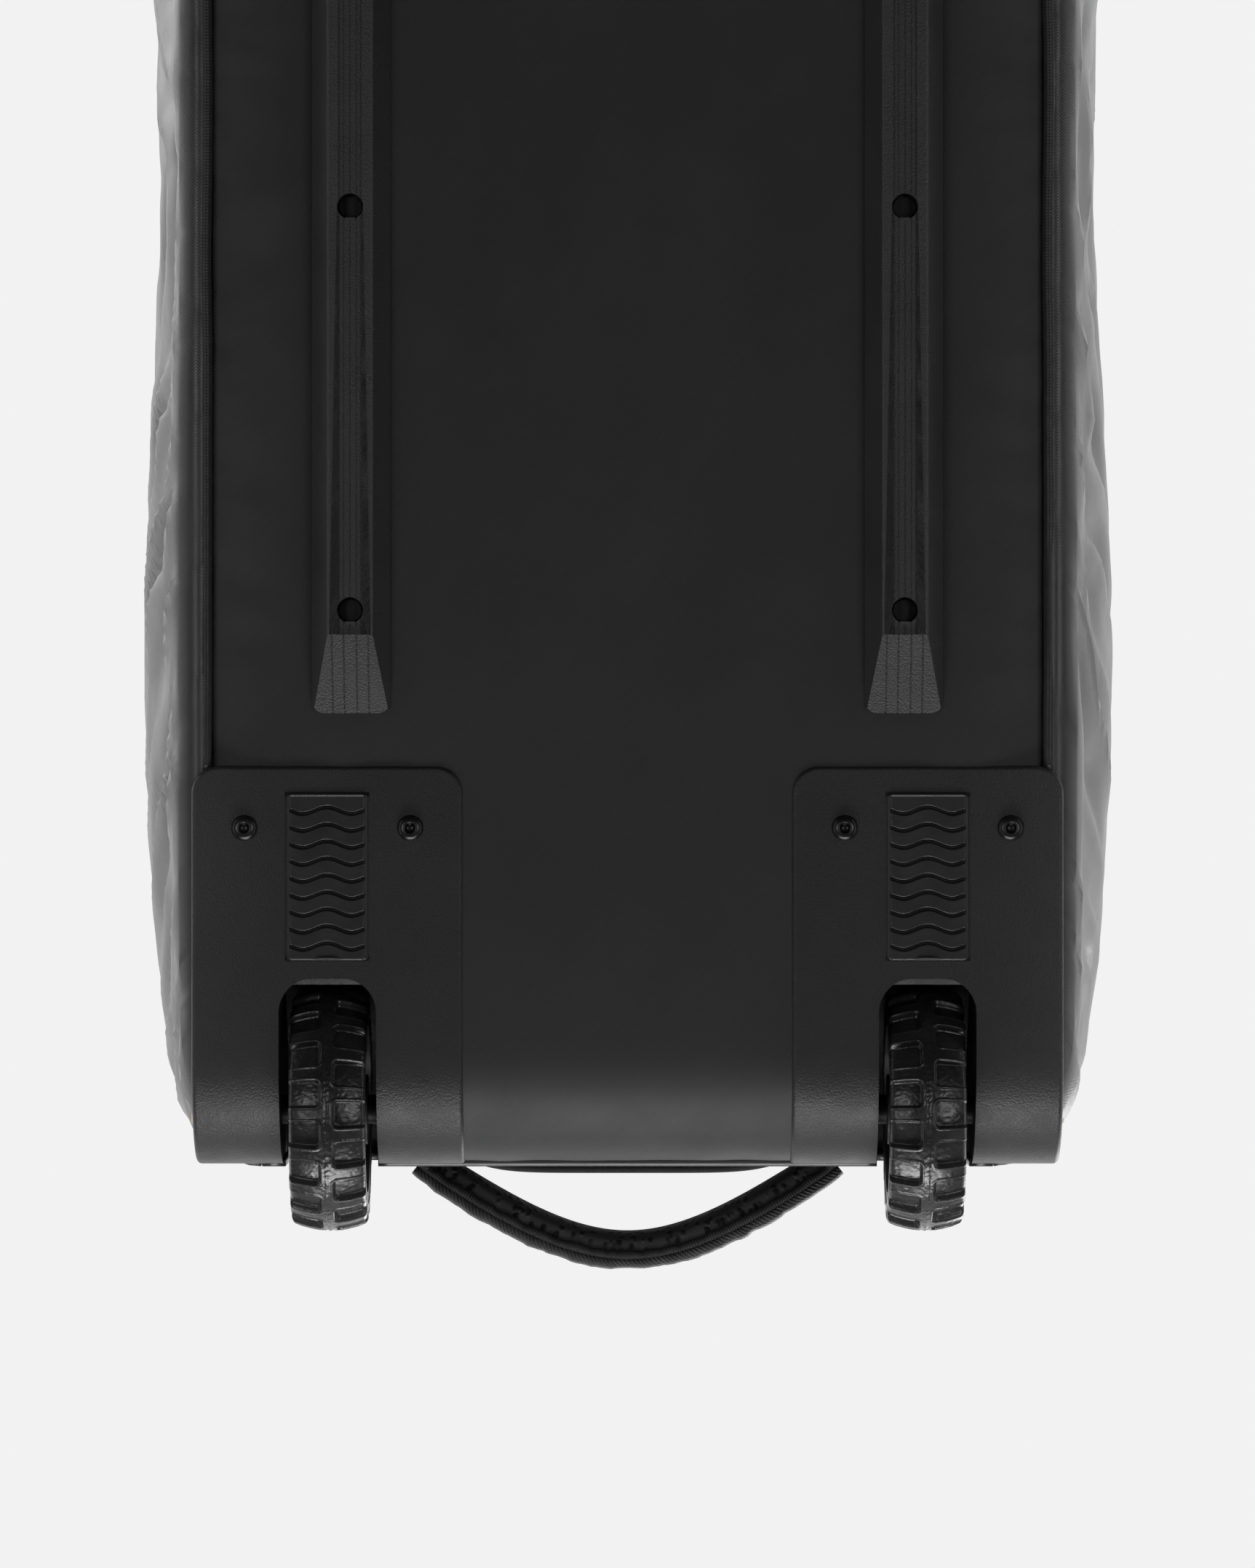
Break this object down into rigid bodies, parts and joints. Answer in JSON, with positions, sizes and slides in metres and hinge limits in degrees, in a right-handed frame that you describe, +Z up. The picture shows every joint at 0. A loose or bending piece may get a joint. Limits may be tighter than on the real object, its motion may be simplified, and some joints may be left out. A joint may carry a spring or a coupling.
{
  "type": "rolling bowling bag",
  "caption": "Long black soft-sided wheeled bag for bowling balls, with skid rails, inline wheels, a telescopic tow handle and a zipped lid.",
  "frame": {"origin": "bottom centre of the bounding box: on the floor that the two skid rails and two wheels rest on, midway across and midway along", "axes": "+X across the bag, +Y along it from the wheel end to the tow-handle end, +Z up from the floor to the lid"},
  "size_m": [0.407, 0.926, 0.305],
  "materials": {
    "coated_fabric": "black twill-embossed coated fabric",
    "side_fabric": "black padded woven polyester",
    "binding": "black grosgrain binding and piping",
    "webbing": "black polyester webbing",
    "handle_pad": "black air mesh over foam",
    "rail_plastic": "black moulded plastic, fine speckle texture",
    "housing_plastic": "black moulded plastic, leather-grain texture",
    "pad_rubber": "black ribbed rubber",
    "tyre_rubber": "black rubber, satin",
    "core_plastic": "dark grey plastic",
    "black_screw": "gloss black coated steel",
    "steel": "zinc-plated steel",
    "tube_aluminium": "satin anodised",
    "zip_coil": "black zip coil and tape",
    "zip_metal": "gunmetal coated zinc",
    "board_plastic": "black polyethylene board",
    "wood": "raw plywood and pine battens",
    "foam": "charcoal closed-cell foam with knit face",
    "grip_plastic": "black plastic",
    "button_plastic": "dark grey plastic"
  },
  "bodies": {
    "bag": {"base_panel": "coated_fabric", "left_side_panel": "side_fabric", "right_side_panel": "side_fabric", "wheel_end_panel": "side_fabric", "tow_end_panel": "side_fabric", "top_rim": "side_fabric", "body_zip_half": "zip_coil", "left_piping": "binding", "right_piping": "binding", "left_skid_rail": "rail_plastic", "right_skid_rail": "rail_plastic", "rail_screws": "steel", "rail_nuts": "steel", "left_wheel_housing": "housing_plastic", "right_wheel_housing": "housing_plastic", "left_scuff_pad": "pad_rubber", "right_scuff_pad": "pad_rubber", "housing_screws": "black_screw", "housing_nuts": "steel", "left_axle": "steel", "right_axle": "steel", "axle_spacers": "steel", "base_board": "board_plastic", "floor_battens": "wood", "false_floor": "wood", "foam_ball_tray": "foam", "left_outer_tube": "tube_aluminium", "right_outer_tube": "tube_aluminium", "tube_clamps": "grip_plastic", "tow_bezel": "grip_plastic", "handle_tabs": "webbing", "card_pocket": "side_fabric"},
    "left_wheel": {"left_tyre": "tyre_rubber", "left_wheel_core": "core_plastic", "left_bearings": "steel"},
    "right_wheel": {"right_tyre": "tyre_rubber", "right_wheel_core": "core_plastic", "right_bearings": "steel"},
    "tow_stage_1": {"left_stage_1_tube": "tube_aluminium", "right_stage_1_tube": "tube_aluminium", "stage_1_guides": "grip_plastic", "stage_1_ferrules": "grip_plastic"},
    "tow_stage_2": {"left_stage_2_tube": "tube_aluminium", "right_stage_2_tube": "tube_aluminium", "stage_2_guides": "grip_plastic", "tow_grip": "grip_plastic"},
    "release": {"release_button": "button_plastic", "release_rods": "tube_aluminium"},
    "lid": {"lid_panel": "side_fabric", "lid_zip_half": "zip_coil"},
    "tow_zip_slider": {"tow_zip_slider": "zip_metal"},
    "wheel_zip_slider": {"wheel_zip_slider": "zip_metal"},
    "tow_zip_pull": {"tow_zip_pull": "zip_metal"},
    "wheel_zip_pull": {"wheel_zip_pull": "zip_metal"},
    "wheel_end_handle": {"wheel_end_handle_webbing": "webbing", "wheel_end_handle_sleeve": "handle_pad"},
    "tow_end_handle": {"tow_end_handle_webbing": "webbing", "tow_end_handle_sleeve": "handle_pad"}
  },
  "joints": [
    {"name": "left_wheel_spin", "type": "hinge", "parent": "bag", "child": "left_wheel", "pos_m": [-0.1231, -0.39, 0.05], "axis": [1, 0, 0], "continuous": true},
    {"name": "right_wheel_spin", "type": "hinge", "parent": "bag", "child": "right_wheel", "pos_m": [0.1231, -0.39, 0.05], "axis": [1, 0, 0], "continuous": true},
    {"name": "tow_stage_1_slide", "type": "slide", "parent": "bag", "child": "tow_stage_1", "axis": [0, 1, 0], "range_m": [0, 0.21]},
    {"name": "tow_stage_2_slide", "type": "slide", "parent": "tow_stage_1", "child": "tow_stage_2", "axis": [0, 1, 0], "range_m": [0, 0.21]},
    {"name": "release_press", "type": "slide", "parent": "tow_stage_2", "child": "release", "axis": [0, -1, 0], "range_m": [0, 0.004], "stiffness_N_per_m": 500, "springref_m": -0.003},
    {"name": "lid_fold", "type": "hinge", "parent": "bag", "child": "lid", "pos_m": [-0.158, 0, 0.3], "axis": [0, -1, 0], "range_deg": [0, 170]},
    {"name": "tow_zip_slide", "type": "slide", "parent": "lid", "child": "tow_zip_slider", "axis": [0, 1, 0], "range_m": [0, 0.305]},
    {"name": "wheel_zip_slide", "type": "slide", "parent": "lid", "child": "wheel_zip_slider", "axis": [0, -1, 0], "range_m": [0, 0.305]},
    {"name": "tow_zip_pull_flip", "type": "hinge", "parent": "tow_zip_slider", "child": "tow_zip_pull", "pos_m": [0.151, 0.02, 0.3036], "axis": [1, 0, 0], "range_deg": [0, 110]},
    {"name": "wheel_zip_pull_flip", "type": "hinge", "parent": "wheel_zip_slider", "child": "wheel_zip_pull", "pos_m": [0.151, -0.02, 0.3036], "axis": [-1, 0, 0], "range_deg": [0, 110]},
    {"name": "wheel_end_handle_tilt", "type": "hinge", "parent": "bag", "child": "wheel_end_handle", "pos_m": [0, -0.42205, 0.15], "axis": [1, 0, 0], "range_deg": [-45, 45], "stiffness_Nm_per_rad": 0.25},
    {"name": "tow_end_handle_tilt", "type": "hinge", "parent": "bag", "child": "tow_end_handle", "pos_m": [0, 0.42205, 0.19], "axis": [1, 0, 0], "range_deg": [-45, 45], "stiffness_Nm_per_rad": 0.25}
  ]
}
